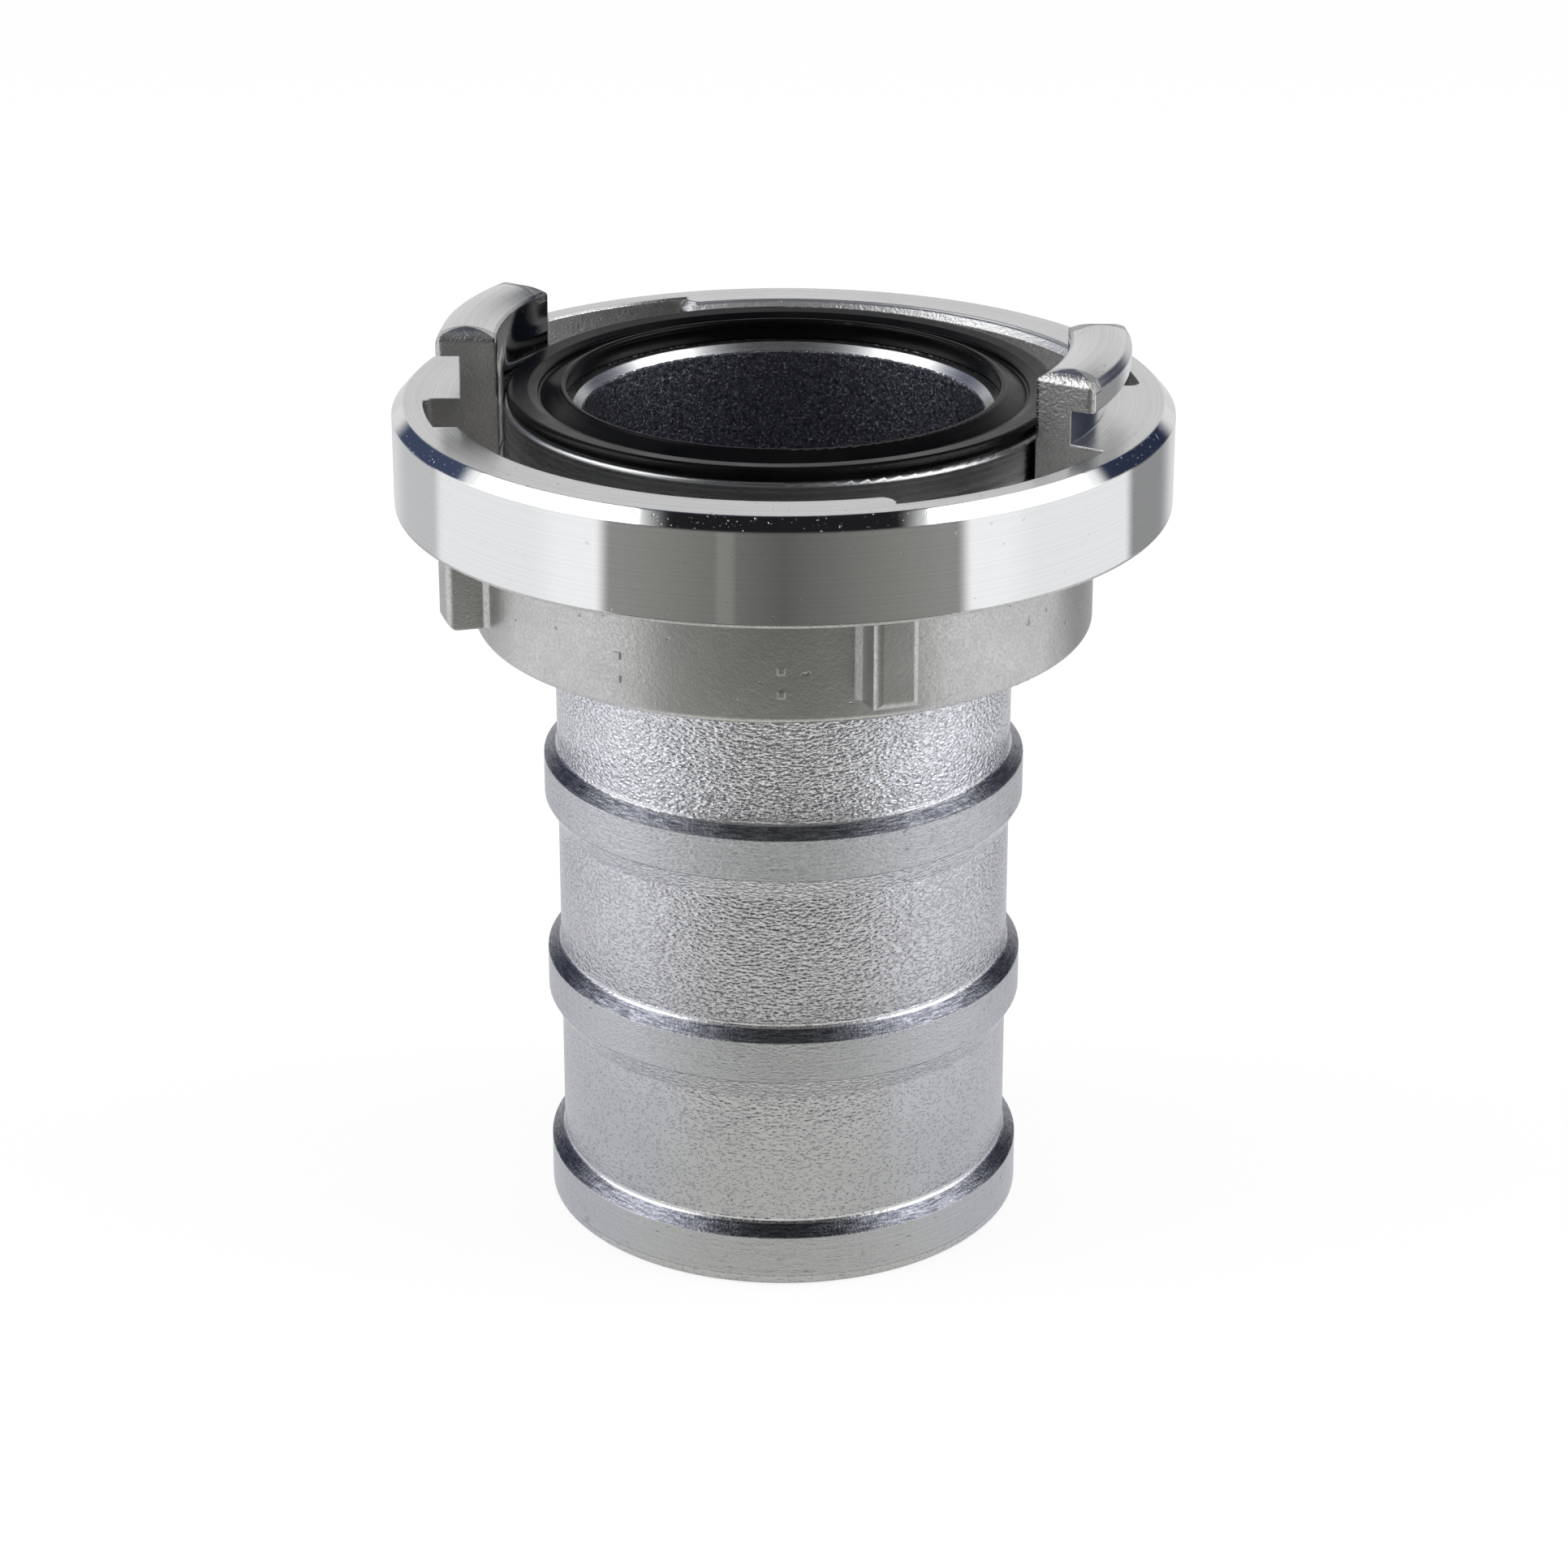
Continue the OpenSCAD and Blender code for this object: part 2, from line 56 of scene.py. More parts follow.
class Graph:
    """Short calls that build one node tree. A value is a plain one or another node's output."""

    def __init__(self, owner):
        owner.use_nodes = True
        self.tree = owner.node_tree
        self.tree.nodes.clear()

    def node(self, kind, inputs=None, **props):
        made = self.tree.nodes.new(kind)
        for name, value in props.items():
            setattr(made, name, value)
        for socket, value in (inputs or {}).items():
            self.put(made.inputs[socket], value)
        return made

    def put(self, socket, value):
        if isinstance(value, bpy.types.NodeSocket):
            self.tree.links.new(value, socket)
        else:
            socket.default_value = value

    def math(self, operation, *values):
        return self.node("ShaderNodeMath", dict(enumerate(values)), operation=operation).outputs[0]

    def chain(self, operation, values):
        total = values[0]
        for value in values[1:]:
            total = self.math(operation, total, value)
        return total

    def add(self, *values):
        return self.chain("ADD", values)

    def mul(self, *values):
        return self.chain("MULTIPLY", values)

    def most(self, *values):
        """The largest of the values."""
        return self.chain("MAXIMUM", values)

    def opposite(self, mask):
        return self.math("SUBTRACT", 1.0, mask)

    def line(self, value, lo, hi, out_lo=0.0, out_hi=1.0, **props):
        """In a straight line from out_lo at lo to out_hi at hi."""
        inputs = dict(enumerate((value, lo, hi, out_lo, out_hi)))
        return self.node("ShaderNodeMapRange", inputs, **props).outputs[0]

    def step(self, value, lo, hi, out_lo=0.0, out_hi=1.0):
        """Smoothly from out_lo at lo to out_hi at hi."""
        return self.line(value, lo, hi, out_lo, out_hi, interpolation_type="SMOOTHSTEP")

    def past(self, value, edge, soft):
        """Nothing up to the edge, one from soft beyond it."""
        return self.step(value, edge, edge + soft)

    def before(self, value, edge, soft):
        """One up to the edge, nothing from soft beyond it."""
        return self.step(value, edge, edge + soft, 1.0, 0.0)

    def band(self, value, lo, hi, soft):
        """One between lo and hi, nothing from soft outside them."""
        return self.mul(self.past(value, lo - soft, soft), self.before(value, hi, soft))

    def mix(self, factor, a, b):
        """Mixes two colours."""
        return self.node("ShaderNodeMix", {0: factor, 6: a, 7: b}, data_type="RGBA").outputs[2]

    def mixf(self, factor, a, b):
        """Mixes two numbers."""
        return self.node("ShaderNodeMix", {0: factor, 2: a, 3: b}, data_type="FLOAT").outputs[0]

    def xyz(self, x, y, z):
        return self.node("ShaderNodeCombineXYZ", {0: x, 1: y, 2: z}).outputs[0]

    def split(self, vector):
        return tuple(self.node("ShaderNodeSeparateXYZ", {0: vector}).outputs)

    def shift(self, vector, way):
        return self.node("ShaderNodeVectorMath", {0: vector, 1: way}, operation="ADD").outputs[0]

    def dot(self, a, b):
        return self.node("ShaderNodeVectorMath", {0: a, 1: b}, operation="DOT_PRODUCT").outputs["Value"]

    def stretch(self, vector, scale, turn=(0, 0, 0)):
        """The vector turned and scaled, so that noise in it is drawn out."""
        inputs = {"Vector": vector, "Rotation": turn, "Scale": scale}
        return self.node("ShaderNodeMapping", inputs).outputs[0]

    def noise(self, vector, scale, detail=2.0, rough=0.5):
        """Noise with scale features to one unit of the vector."""
        inputs = {"Vector": vector, "Scale": scale, "Detail": detail, "Roughness": rough}
        return self.node("ShaderNodeTexNoise", inputs).outputs["Fac"]

    def lines(self, along, pitch, detail=1.0):
        """Noise that varies along one value only, with features about one pitch wide."""
        inputs = {"W": along, "Scale": 1.0 / pitch, "Detail": detail}
        return self.node("ShaderNodeTexNoise", inputs, noise_dimensions="1D").outputs["Fac"]

    def spots(self, vector, scale, lo, hi, detail=1.0, rough=0.5):
        """One on the spots where noise is above hi, nothing where it is below lo."""
        return self.step(self.noise(vector, scale, detail, rough), lo, hi)

    def spread(self, noise, out_lo=0.0, out_hi=1.0):
        """The usual range of noise laid over out_lo to out_hi."""
        return self.line(noise, NOISE_LOW, NOISE_HIGH, out_lo, out_hi)

    def scales(self, vector, scale, smoothness):
        """The distance to the middle of the nearest cell, with soft borders between the cells."""
        inputs = {"Vector": vector, "Scale": scale, "Smoothness": smoothness}
        return self.node("ShaderNodeTexVoronoi", inputs, feature="SMOOTH_F1").outputs["Distance"]


class Surface(Graph):
    """A material's tree with the piece's own coordinates, which at rest are the shared frame's."""

    def __init__(self, name):
        self.material = bpy.data.materials.new(name)
        super().__init__(self.material)
        place = self.node("ShaderNodeTexCoord")
        self.at = place.outputs["Object"]
        self.x, self.y, self.z = self.split(self.at)
        self.r = self.math("SQRT", self.add(self.mul(self.x, self.x), self.mul(self.y, self.y)))
        safe_r = self.most(self.r, 0.01 * MM)
        self.cos = self.math("DIVIDE", self.x, safe_r)
        self.sin = self.math("DIVIDE", self.y, safe_r)
        # along a turned outline, whether it runs along the axis or across it
        self.path = self.add(self.r, self.z)
        nx, ny, self.nz = self.split(place.outputs["Normal"])
        round_axis = self.math("SUBTRACT", self.mul(ny, self.cos), self.mul(nx, self.sin))
        self.n_round = self.math("ABSOLUTE", round_axis)

    def lathe(self, path, fine, along, seed=0.0):
        """Coordinates in which noise runs round the axis: fine features a metre of path, long in the arc."""
        start = self.add(self.mul(self.cos, along), seed)
        return self.xyz(start, self.mul(self.sin, along), self.mul(path, fine))

    def rounded(self, radius):
        """The normal with its sharp edges rounded over."""
        return self.node("ShaderNodeBevel", {"Radius": radius}, samples=4).outputs[0]

    def sharp_edges(self, rounded):
        """One where the rounded normal leaves the mesh's own."""
        own = self.node("ShaderNodeNewGeometry").outputs["Normal"]
        return self.step(self.opposite(self.dot(rounded, own)), 0.02, 0.22)

    def walled_in(self, reach):
        """How closely a place is walled in."""
        open_sky = self.node("ShaderNodeAmbientOcclusion", {"Distance": reach}, samples=6).outputs["AO"]
        return self.opposite(open_sky)

    def finish(self, color, rough, height, normal, metallic=1.0, specular=0.5):
        bump = {"Strength": 1.0, "Distance": 1.0, "Height": height, "Normal": normal}
        shader = self.node("ShaderNodeBsdfPrincipled", {
            "Base Color": color,
            "Roughness": rough,
            "Normal": self.node("ShaderNodeBump", bump).outputs[0],
            "Metallic": metallic,
            "Specular IOR Level": specular,
        })
        self.node("ShaderNodeOutputMaterial", {0: shader.outputs[0]})
        return self.material


# Metal finishes: each is a colour, a roughness and a height
TOOL_PITCH = 0.36 * MM
PASS_PITCH = 1.3 * MM
FRESH_SCRATCH = (0.97, 0.97, 0.97, 1)


def tint(shade, factor=1.0):
    return tuple(min(1.0, factor * part) for part in shade) + (1,)


def blend_of(s, mask, a, b):
    """Finish a where the mask is nothing, finish b where it is one."""
    return s.mix(mask, a[0], b[0]), s.mixf(mask, a[1], b[1]), s.mixf(mask, a[2], b[2])


def turned(s, seed, shade, rough, depth=1.0, streaks=0.10):
    """Lathe-turned aluminium: straight tool lines, stray scratches, faint smudges and a few dark nicks."""
    path = s.add(s.path, seed)
    tool = s.lines(path, TOOL_PITCH)
    passes = s.lines(path, PASS_PITCH, detail=2.0)
    smudge = s.noise(s.at, 55, 4.0, 0.6)
    arcs = s.spots(s.lathe(s.path, 5200, 14, seed), 1.0, 0.70, 0.76)
    strays = s.spots(s.stretch(s.at, (5200, 240, 5200), turn=(0.5, 0.8, 0.9)), 1.0, 0.76, 0.80)
    nicks = s.spots(s.at, 900, 0.745, 0.775)
    color = s.mix(s.spread(tool), tint(shade, 0.90), tint(shade, 1.05))
    color = s.mix(s.spread(passes, 0.0, streaks), color, tint(shade, 0.45))
    color = s.mix(s.mul(arcs, 0.25), color, FRESH_SCRATCH)
    color = s.mix(s.mul(s.most(strays, nicks), 0.45), color, tint(shade, 0.35))
    rough = s.add(rough, s.spread(tool, -0.02, 0.02), s.line(smudge, 0.35, 0.7, -0.01, 0.04))
    height = s.add(s.mul(tool, 0.0022 * MM * depth), s.mul(passes, 0.003 * MM * depth))
    return color, rough, s.add(height, s.mul(s.add(strays, nicks), -0.008 * MM))


def blasted(s, seed, shade, rough, depth=1.0):
    """Blasted casting: a fine even grain, soft mottling and a few flow marks."""
    place = s.shift(s.at, (seed, seed * 2, 0))
    grain = s.noise(place, 2300, 2.0, 0.6)
    coarse = s.noise(place, 1100)
    mottle = s.noise(place, 120, 4.0, 0.6)
    flow = s.noise(s.stretch(place, (420, 420, 60)), 1.0, 3.0, 0.6)
    pits = s.spots(place, 620, 0.75, 0.79)
    color = s.mix(s.spread(mottle), tint(shade, 0.90), tint(shade, 1.06))
    color = s.mix(s.line(grain, 0.35, 0.65, 0.0, 0.45), color, tint(shade, 0.60))
    color = s.mix(s.step(flow, 0.62, 0.74, 0.0, 0.2), color, tint(shade, 0.75))
    color = s.mix(s.mul(pits, 0.5), color, tint(shade, 0.4))
    rough = s.add(rough, s.spread(grain, -0.06, 0.06))
    height = s.add(s.mul(grain, 0.032 * MM * depth), s.mul(coarse, 0.030 * MM * depth))
    return color, rough, s.add(height, s.mul(pits, -0.08 * MM))


# Widths over which one finish runs into the next
THIN_BLEND, BLEND, WIDE_BLEND = 0.2 * MM, 0.3 * MM, 0.4 * MM

# Lug ring
RING_ROUNDING = 0.4 * MM
RING_PAINTED_SHADE_REACH = 5 * MM
RIM_FOOT_Z = 124.4 * MM
RIM_BEVEL_Z, RIM_BEVEL_R = 138.9 * MM, 60.8 * MM
CHANNEL_Z = (127 * MM, 140.5 * MM)
CHANNEL_R = (46.6 * MM, 58.6 * MM)
CHANNEL_LIP_Z, CHANNEL_LIP_R = 139.0 * MM, (52.0 * MM, 58.8 * MM)
LUG_IN_R = 46.3 * MM
LUG_CROWN_Z = 149.6 * MM
LUG_END_Z = 149.3 * MM
LUG_LEAD = 0.15 * MM
LUG_TRAIL = 3.2 * MM
LUG_TRAIL_ANGLE = math.radians(31.6)
HOOK_Z, HOOK_R = 143.0 * MM, 56.0 * MM
RIM_SHADE = (0.85, 0.855, 0.845)
FACE_SHADE = (0.84, 0.84, 0.835)
CAST_SHADE = (0.68, 0.675, 0.66)
LUG_END_SHADE = (0.70, 0.69, 0.68)
RING_PAINTED_SHADE = (0.07, 0.066, 0.06, 1)
RING_WEAR = (0.90, 0.90, 0.90, 1)
LUG_INSIDE_REFLECTION = (0.10, 0.10, 0.12, 1)
DEBURRED = (0.50, 0.50, 0.51, 1)
BARE_CASTING = (0.95, 0.945, 0.93, 1)
HOOK_SIDE_SHADE = (0.16, 0.155, 0.15, 1)
KNOCK = (0.95, 0.95, 0.95, 1)


def lug_ends(s):
    """One on the roundings across both ends of the lugs."""
    half = s.math("SIGN", s.x)
    x, y = s.mul(s.x, half), s.mul(s.y, half)
    lead = s.past(y, LUG_LEAD, THIN_BLEND)
    from_trail = s.add(s.mul(y, math.cos(LUG_TRAIL_ANGLE)), s.mul(x, math.sin(LUG_TRAIL_ANGLE)))
    return s.most(lead, s.before(from_trail, LUG_TRAIL, THIN_BLEND))


def slopes(s, low, level):
    """One on faces that look up at a slant, nothing on upright ones and from level on."""
    return s.mul(s.past(s.nz, low, 0.1), s.step(s.nz, level[0], level[1], 1.0, 0.0))


def machined_part(s, high, channel):
    """One above the rim's cast foot on faces along the axis or straight out or in, not in the channel."""
    round_part = s.before(s.n_round, 0.25, 0.2)
    round_part = s.mul(round_part, s.opposite(s.mul(lug_ends(s), s.past(s.z, LUG_END_Z, BLEND))))
    return s.mul(high, round_part, s.opposite(s.mul(channel, 0.9)))


def ring_metal(s, high, machined):
    """The ring's finishes before use: bright rim and face, blasted skirt, coarser lug ends."""
    rim = turned(s, 0.0, RIM_SHADE, 0.05, 0.25, 0.02)
    rim = (s.mix(0.55, rim[0], tint(RIM_SHADE)), rim[1], rim[2])
    face = turned(s, 4.0, FACE_SHADE, 0.22, 1.5)
    top = s.most(s.past(s.nz, 0.80, 0.1), s.past(s.z, LUG_CROWN_Z, BLEND))
    skirt = blasted(s, 0.0, CAST_SHADE, 0.36)
    lug_end = blasted(s, 0.3, LUG_END_SHADE, 0.34, 3.0)
    return blend_of(s, machined, blend_of(s, high, skirt, lug_end), blend_of(s, top, rim, face))


def ring_material():
    s = Surface("ring_alloy")
    soft = s.rounded(RING_ROUNDING)
    edge = s.sharp_edges(soft)
    high = s.past(s.z, RIM_FOOT_Z, THIN_BLEND)
    channel = s.mul(s.band(s.z, *CHANNEL_Z, BLEND), s.band(s.r, *CHANNEL_R, BLEND))
    machined = machined_part(s, high, channel)
    color, rough, height = ring_metal(s, high, machined)
    # painted shade: the colour darkens where the surface is walled in, in corners and recesses
    painted_shade = s.mul(s.step(s.walled_in(RING_PAINTED_SHADE_REACH), 0.30, 0.95), s.opposite(s.mul(channel, 0.95)))
    color = s.mix(s.mul(painted_shade, s.mixf(machined, 0.60, 0.40)), color, RING_PAINTED_SHADE)
    wear = s.mul(edge, s.spots(s.at, 700, 0.35, 0.55, 3.0, 0.6), s.mixf(high, 0.12, 0.6))
    color = s.mix(wear, color, RING_WEAR)
    rough = s.mixf(wear, rough, s.mixf(high, 0.36, 0.22))
    # the lugs' inner faces are polished like the bevel round the rim
    inner = s.mul(s.past(s.z, FACE_Z + BLEND, BLEND), s.before(s.r, LUG_IN_R, BLEND))
    bevel = s.mul(s.past(s.z, RIM_BEVEL_Z, WIDE_BLEND), s.past(s.r, RIM_BEVEL_R, WIDE_BLEND))
    bevel = s.mul(bevel, slopes(s, 0.15, (0.93, 0.97)))
    rough = s.mixf(s.most(bevel, inner), rough, s.add(0.04, s.mul(rough, 0.2)))
    # painted reflection: the lugs' inner faces are darkened, as they mirror the dark seal and bore
    color = s.mix(s.mul(inner, 0.5), color, LUG_INSIDE_REFLECTION)
    # the edge of the channel's floor is only deburred, the channel's walls are bare casting
    sloped = slopes(s, 0.2, (0.90, 0.95))
    deburred = s.mul(s.past(s.z, CHANNEL_LIP_Z, THIN_BLEND), s.band(s.r, *CHANNEL_LIP_R, THIN_BLEND))
    deburred = s.mul(sloped, deburred, s.before(s.z, FACE_Z + THIN_BLEND, THIN_BLEND))
    color = s.mix(s.mul(deburred, 0.85), color, DEBURRED)
    rough = s.mixf(deburred, rough, 0.42)
    bare = s.mul(channel, s.before(s.n_round, 0.25, 0.2))
    color = s.mix(s.mul(bare, 0.45), color, BARE_CASTING)
    # the hooks' outer edges are softer than their tops, and their sides are darker with painted shade
    hook = s.mul(s.past(s.z, HOOK_Z, BLEND), s.past(s.r, HOOK_R, BLEND))
    rough = s.mixf(s.mul(hook, sloped), rough, 0.34)
    side = s.mul(hook, s.before(s.nz, 0.15, 0.1))
    color = s.mix(s.mul(side, 0.5), color, HOOK_SIDE_SHADE)
    # small knocks along the bevel and the other outer edges
    knock = s.mul(s.most(s.mul(bevel, 0.35), edge), s.spots(s.at, 1900, 0.72, 0.77))
    height = s.add(height, s.mul(knock, -0.10 * MM))
    color = s.mix(s.mul(knock, 0.5), color, KNOCK)
    return s.finish(color, rough, height, soft)


# Hose tail
TAIL_ROUNDING = 0.35 * MM
TAIL_PAINTED_SHADE_REACH = 3 * MM
# each barb's parts are spans of height measured from its edge
BARB_EDGES = (8.6 * MM, 44.05 * MM, 79.5 * MM)
BARB_LAND = (-6.9 * MM, 0.1 * MM)
BARB_SHOULDER = (0.12 * MM, 1.75 * MM)
BARB_ROOT = (1.80 * MM, 2.35 * MM)
SKIN_Z = (18 * MM, 84 * MM)
LOWER_SKIN_Z = (18 * MM, 60 * MM)
UPPER_SKIN_Z = (64 * MM, 86 * MM)
LANDS_SHADE_Z = (4 * MM, 78 * MM)
NICKED_Z = 100 * MM
JOURNAL_Z = 108 * MM
FLANGE_Z = 126 * MM
BORE_R = 32.42 * MM
MOUTH_R = (32.6 * MM, 35.2 * MM)
TAIL_SHADE = (0.62, 0.625, 0.63)
MOUTH_SHADE = (0.84, 0.845, 0.85)
PIT_SHADE = (0.15, 0.155, 0.18, 1)
LAND_DARK, LAND_BRIGHT = (0.63, 0.64, 0.665, 1), (0.70, 0.71, 0.74, 1)
LAND_HOLLOW_SHADE = (0.27, 0.275, 0.30, 1)
LAND_STAIN = (0.30, 0.30, 0.32, 1)
PAINTED_SHADE_BLACK = (0.0, 0.0, 0.0, 1)
GOUGE = (0.12, 0.12, 0.14, 1)
SHOULDER_REFLECTION_DARK, SHOULDER_REFLECTION_LIGHT = (0.08, 0.085, 0.105, 1), (0.34, 0.35, 0.39, 1)
SHOULDER_SAND = (0.10, 0.105, 0.13, 1)
ROOT_HIGHLIGHT, ROOT_HIGHLIGHT_DIM = (0.86, 0.865, 0.89, 1), (0.60, 0.605, 0.63, 1)
BORE_SHADE_DARK, BORE_SHADE_LIGHT = (0.07, 0.072, 0.09, 1), (0.27, 0.275, 0.33, 1)
BORE_GLINT = (0.85, 0.87, 0.95, 1)
TAIL_PAINTED_SHADE = (0.07, 0.07, 0.08, 1)
TAIL_WEAR = (0.85, 0.85, 0.87, 1)


def at_barbs(s, span):
    """One in this span of each barb."""
    return s.most(*(s.band(s.z, z + span[0], z + span[1], THIN_BLEND) for z in BARB_EDGES))


def up_the_skin(s, low, high):
    """From low at the tail's lowest cast skin to high at its highest."""
    return s.line(s.z, *SKIN_Z, low, high)


def cast_skin(s, warped, depth):
    """The cast skin: small overlapping scales, deeper towards the top of the tail, with painted light up the
    tail and painted shade in the pits.
    """
    ripple = s.noise(warped, 1550, 2.0, 0.55)
    fine = s.noise(s.at, 4200, 2.0, 0.6)
    mottle = s.noise(s.at, 90, 4.0, 0.6)
    # painted light: the skin is coloured lighter up the tail, and lighter again near the top where the skirt
    # shades it
    shade = s.add(s.line(s.z, *LOWER_SKIN_Z, 0.53, 0.68), s.line(s.z, *UPPER_SKIN_Z, 0.0, 0.22))
    shade = s.mul(shade, s.spread(mottle, 0.94, 1.04))
    blue = {0: shade, 1: s.mul(shade, 1.005), 2: s.mul(shade, 1.05)}
    color = s.node("ShaderNodeCombineColor", blue).outputs[0]
    # pits in a smooth face, few at the bottom and running together into wavy creases at the top; their dark
    # colour is painted shade
    above_rim = s.math("SUBTRACT", s.noise(warped, 1450, 1.0), up_the_skin(s, 0.60, 0.51))
    pits = s.step(above_rim, 0.0, 0.065)
    color = s.mix(s.mul(pits, 0.17), color, PIT_SHADE)
    rough = s.add(up_the_skin(s, 0.27, 0.12), s.spread(fine, -0.03, 0.04))
    height = s.add(s.mul(s.scales(warped, 1080, 0.3), -0.30 * MM), s.mul(ripple, 0.15 * MM))
    height = s.mul(depth, s.add(height, s.mul(fine, 0.012 * MM)))
    return color, rough, s.add(height, s.mul(pits, up_the_skin(s, -0.09 * MM, -0.15 * MM)))


def barb_land(s, squat, depth):
    """The barbs' lands: smoother, rubbed and nicked by hoses and clamps, with painted shade in their hollows
    and towards the bottom of the tail.
    """
    grain = s.noise(squat, 1700, 3.0, 0.6)
    rub = s.lines(s.z, 0.45 * MM, detail=2.0)
    rubbed = s.spots(s.lathe(s.path, 900, 5, 1.0), 1.0, 0.45, 0.65, 2.0)
    stain = s.noise(s.at, 260, 4.0, 0.65)
    gouge = s.spots(s.stretch(s.at, (260, 900, 2600), turn=(0.2, 0.9, 0.1)), 1.0, 0.745, 0.775)
    color = s.mix(s.line(rub, 0.35, 0.65), LAND_DARK, LAND_BRIGHT)
    # painted shade: the colour darkens in the grain's hollows, more towards the top
    shaded_hollow = s.mul(depth, 0.5, s.line(grain, 0.32, 0.5, 1.0, 0.0))
    color = s.mix(shaded_hollow, color, LAND_HOLLOW_SHADE)
    color = s.mix(s.step(stain, 0.62, 0.72, 0.0, 0.35), color, LAND_STAIN)
    # painted shade: the lands darken towards the bottom of the tail
    color = s.mix(s.line(s.z, *LANDS_SHADE_Z, 0.75, 1.0), PAINTED_SHADE_BLACK, color)
    color = s.mix(s.mul(gouge, 0.7), color, GOUGE)
    rough = s.add(0.28, s.spread(rub, -0.06, 0.06))
    height = s.add(s.mul(s.add(depth, 0.15), grain, 0.36 * MM), s.mul(rub, rubbed, 0.05 * MM))
    return color, rough, s.add(height, s.mul(gouge, -0.06 * MM))


def barb_shoulder(s, sand, drawn):
    """The steep shoulders above the barbs: a coarse grain, drawn round the axis, over a painted dark
    reflection.
    """
    color = s.mix(s.line(drawn, 0.35, 0.65), SHOULDER_REFLECTION_DARK, SHOULDER_REFLECTION_LIGHT)
    color = s.mix(s.line(sand, 0.50, 0.62, 0.0, 0.5), color, SHOULDER_SAND)
    rough = s.add(0.26, s.spread(sand, -0.05, 0.05))
    return color, rough, s.add(s.mul(sand, 0.06 * MM), s.mul(drawn, 0.05 * MM))


def barb_root_highlight(s, sand, drawn):
    """The painted highlight: a bright line where a shoulder meets the skin above it."""
    color = s.mix(s.line(sand, 0.35, 0.5, 1.0, 0.0), ROOT_HIGHLIGHT, ROOT_HIGHLIGHT_DIM)
    return color, s.add(0.20, s.spread(sand, -0.03, 0.03)), s.mul(drawn, 0.04 * MM)


def bore_wall(s):
    """The waterway's wall: rough casting in painted dark shade, with bright specks as painted glints."""
    grain = s.noise(s.at, 1300, 4.0, 0.7)
    glints = s.spots(s.at, 2600, 0.57, 0.68, 2.0)
    color = s.mix(s.spread(grain), BORE_SHADE_DARK, BORE_SHADE_LIGHT)
    color = s.mix(s.mul(glints, 0.7), color, BORE_GLINT)
    return color, s.add(0.38, s.spread(grain, -0.08, 0.1)), s.mul(grain, 0.24 * MM)


def tail_metal(s):
    """The tail's finishes before use: cast skin and barbs, turned journal, polished mouth, cast bore; the
    skin, barbs and bore also carry painted light and shade.
    """
    squat = s.stretch(s.at, (1.0, 1.0, 1.9))
    bend = s.noise(s.at, 700)
    warped = s.shift(squat, s.xyz(s.mul(bend, 0.9 * MM), s.mul(bend, 0.7 * MM), 0.0))
    depth = up_the_skin(s, 0.30, 1.0)
    sand = s.noise(s.at, 2100, 3.0, 0.65)
    drawn = s.noise(s.lathe(s.math("SUBTRACT", s.z, s.r), 2400, 16), 1.0, 3.0, 0.6)
    land = at_barbs(s, BARB_LAND)
    metal = blend_of(s, land, cast_skin(s, warped, depth), barb_land(s, squat, depth))
    metal = blend_of(s, at_barbs(s, BARB_SHOULDER), metal, barb_shoulder(s, sand, drawn))
    # painted highlight: a bright band at each barb's root
    metal = blend_of(s, s.mul(at_barbs(s, BARB_ROOT), 0.75), metal, barb_root_highlight(s, sand, drawn))
    top = s.past(s.z, JOURNAL_Z, 1 * MM)
    outer = s.past(s.r, MOUTH_R[1], THIN_BLEND)
    metal = blend_of(s, s.mul(top, outer), metal, turned(s, 2.0, TAIL_SHADE, 0.27, 1.2, 0.65))
    mouth = s.mul(s.band(s.r, *MOUTH_R, 0.15 * MM), top)
    metal = blend_of(s, mouth, metal, turned(s, 5.0, MOUTH_SHADE, 0.27, 0.8))
    return blend_of(s, s.before(s.r, BORE_R, 0.08 * MM), metal, bore_wall(s))


def tail_material():
    s = Surface("tail_alloy")
    soft = s.rounded(TAIL_ROUNDING)
    edge = s.sharp_edges(soft)
    color, rough, height = tail_metal(s)
    # painted shade: the colour darkens where the surface is walled in, in corners and recesses
    painted_shade = s.step(s.walled_in(TAIL_PAINTED_SHADE_REACH), 0.35, 0.95)
    color = s.mix(s.mul(painted_shade, 0.5), color, TAIL_PAINTED_SHADE)
    wear = s.mul(edge, s.spots(s.at, 600, 0.30, 0.50, 3.0, 0.6), s.before(s.z, FLANGE_Z, 1 * MM))
    color = s.mix(s.mul(wear, 0.55), color, TAIL_WEAR)
    rough = s.mixf(s.mul(wear, 0.6), rough, 0.2)
    nick = s.mul(edge, s.before(s.z, NICKED_Z, 1 * MM), s.spots(s.at, 900, 0.60, 0.68, 2.0))
    height = s.add(height, s.mul(nick, -0.12 * MM))
    return s.finish(color, rough, height, soft)


# Seal and retaining ring
SMALL_ROUNDING = 0.2 * MM
SEAL_RING_PITCH = 0.4 * MM
RUBBER_BLACK, RUBBER_BROWN = (0.0022, 0.0022, 0.0024, 1), (0.0055, 0.0052, 0.0046, 1)
DUST = (0.35, 0.33, 0.30, 1)
WIRE_DARK, WIRE_BRIGHT = (0.50, 0.50, 0.51, 1), (0.60, 0.60, 0.60, 1)
WIRE_STAIN = (0.30, 0.27, 0.24, 1)


